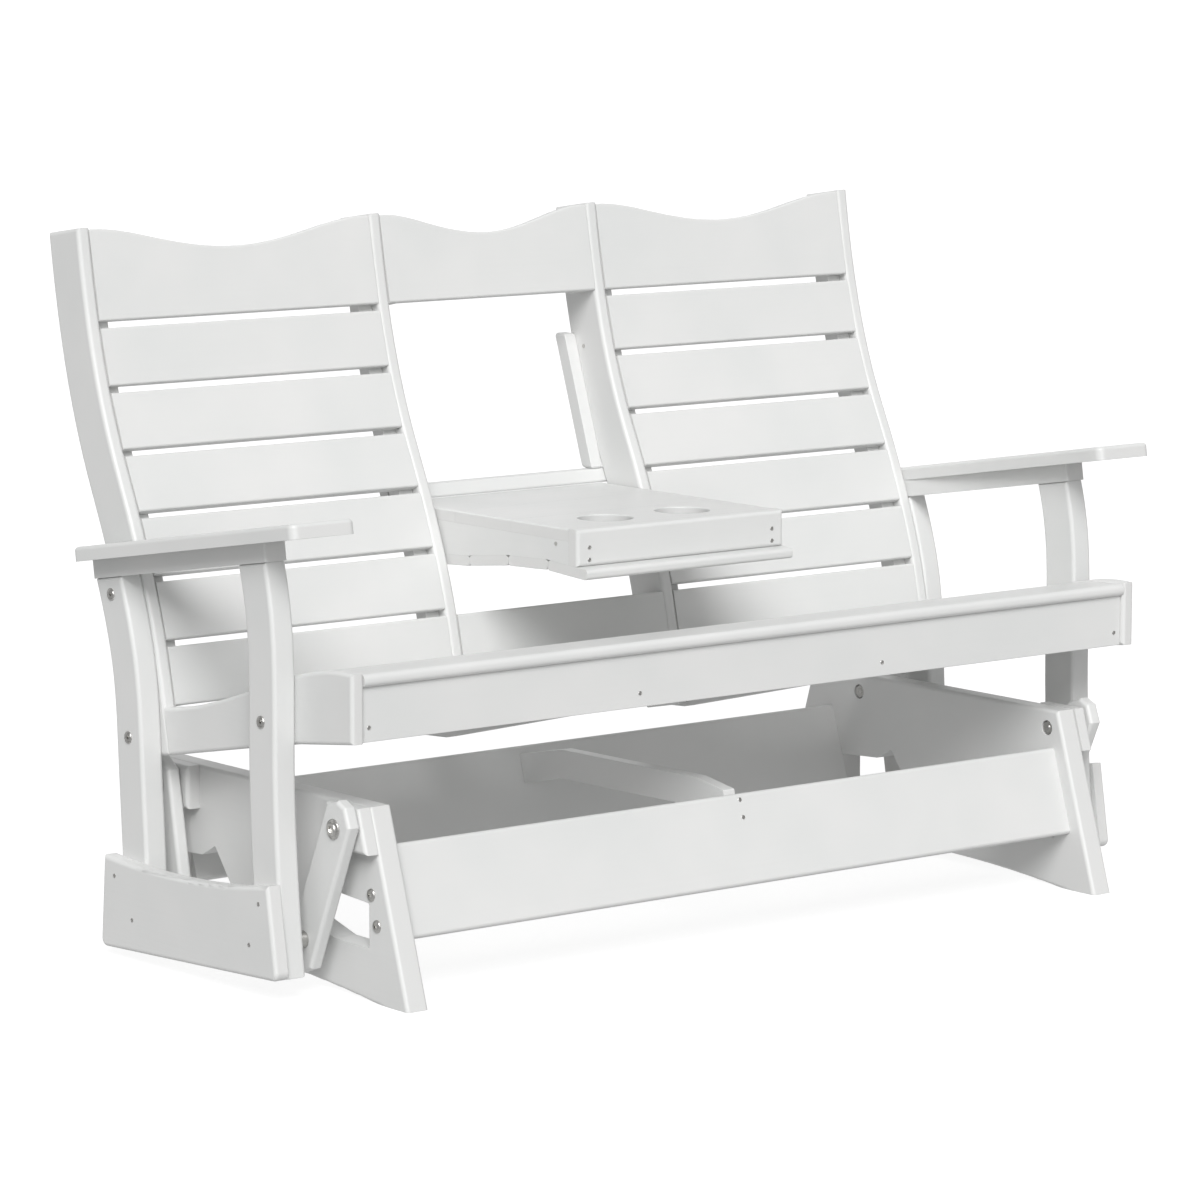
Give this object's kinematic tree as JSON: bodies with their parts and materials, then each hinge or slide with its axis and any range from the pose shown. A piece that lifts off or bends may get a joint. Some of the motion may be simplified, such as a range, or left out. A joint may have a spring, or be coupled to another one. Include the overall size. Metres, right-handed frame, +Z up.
{
  "type": "glider bench",
  "caption": "Slatted plastic-lumber glider bench: contoured back with scalloped top rails, a fold-down console table with cup holes, arms, and a seat hung on links from a floor base.",
  "frame": {"origin": "floor level under the middle of the outside box of the bench", "axes": "+X to the sitter's left along the bench, -Y to the front, +Z up"},
  "size_m": [1.672, 0.8202, 1.084],
  "materials": {
    "plastic_lumber": "white extruded lumber with a satin surface",
    "stainless_hardware": "plain stainless",
    "nylon_bushing": "black moulded nylon"
  },
  "bodies": {
    "base": {"base_center_brace": "plastic_lumber", "base_end_left": "plastic_lumber", "base_end_right": "plastic_lumber", "base_front_rail": "plastic_lumber", "base_rail_bolts": "stainless_hardware", "base_rear_rail": "plastic_lumber", "pivot_blocks_front": "plastic_lumber", "pivot_blocks_rear": "plastic_lumber", "upper_pivot_bolts": "stainless_hardware", "upper_pivot_nuts": "stainless_hardware", "upper_pivot_washers": "stainless_hardware"},
    "seat": {"arm_cleats": "plastic_lumber", "arm_post_bolts": "stainless_hardware", "arm_post_front_left": "plastic_lumber", "arm_post_front_right": "plastic_lumber", "arm_post_rear_left": "plastic_lumber", "arm_post_rear_right": "plastic_lumber", "armrest_left": "plastic_lumber", "armrest_right": "plastic_lumber", "back_center_slat": "plastic_lumber", "back_cleats": "plastic_lumber", "back_post_inner_left": "plastic_lumber", "back_post_inner_right": "plastic_lumber", "back_post_outer_left": "plastic_lumber", "back_post_outer_right": "plastic_lumber", "back_slats_left": "plastic_lumber", "back_slats_right": "plastic_lumber", "back_top_rail_center": "plastic_lumber", "back_top_rail_left": "plastic_lumber", "back_top_rail_right": "plastic_lumber", "console_pivot_bolts": "stainless_hardware", "console_stop_cleats": "plastic_lumber", "console_stop_rail": "plastic_lumber", "lower_pivot_bolts": "stainless_hardware", "lower_pivot_nuts": "stainless_hardware", "lower_pivot_sleeves": "stainless_hardware", "seat_cleats": "plastic_lumber", "seat_front_skirt": "plastic_lumber", "seat_nosing": "plastic_lumber", "seat_rail_outer_left": "plastic_lumber", "seat_rail_outer_right": "plastic_lumber", "seat_rails_inner": "plastic_lumber", "seat_slats": "plastic_lumber", "side_board_left": "plastic_lumber", "side_board_right": "plastic_lumber"},
    "console": {"console_bottom_slats": "plastic_lumber", "console_cup_plank": "plastic_lumber", "console_front_board": "plastic_lumber", "console_side_left": "plastic_lumber", "console_side_right": "plastic_lumber", "console_top_planks": "plastic_lumber"},
    "front_left_link": {"front_left_link": "plastic_lumber", "front_left_bushings": "nylon_bushing"},
    "front_right_link": {"front_right_link": "plastic_lumber", "front_right_bushings": "nylon_bushing"},
    "rear_left_link": {"rear_left_link": "plastic_lumber", "rear_left_bushings": "nylon_bushing"},
    "rear_right_link": {"rear_right_link": "plastic_lumber", "rear_right_bushings": "nylon_bushing"}
  },
  "joints": [
    {"name": "glide", "type": "hinge", "parent": "base", "child": "front_left_link", "pos_m": [-0.73, -0.2961, 0.256], "axis": [1, 0, 0], "range_deg": [-12, 12]},
    {"name": "front_right_swing", "type": "hinge", "parent": "base", "child": "front_right_link", "pos_m": [0.73, -0.2961, 0.256], "axis": [1, 0, 0], "range_deg": [-12, 12]},
    {"name": "rear_left_swing", "type": "hinge", "parent": "base", "child": "rear_left_link", "pos_m": [-0.73, 0.1619, 0.256], "axis": [1, 0, 0], "range_deg": [-11, 11]},
    {"name": "rear_right_swing", "type": "hinge", "parent": "base", "child": "rear_right_link", "pos_m": [0.73, 0.1619, 0.256], "axis": [1, 0, 0], "range_deg": [-11, 11]},
    {"name": "seat_hang", "type": "hinge", "parent": "front_left_link", "child": "seat", "pos_m": [-0.73, -0.21882, 0.08243], "axis": [1, 0, 0], "range_deg": [-16, 16]},
    {"name": "console_fold", "type": "hinge", "parent": "seat", "child": "console", "pos_m": [0, 0.1894, 0.57066], "axis": [-1, 0, 0], "range_deg": [0, 108]}
  ],
  "couplings": [
    {"joint": "front_right_swing", "follows": "glide", "ratio": 1},
    {"joint": "rear_left_swing", "follows": "glide", "ratio": 0.90593},
    {"joint": "rear_right_swing", "follows": "glide", "ratio": 0.90593},
    {"joint": "seat_hang", "follows": "glide", "ratio": -1.3105}
  ]
}
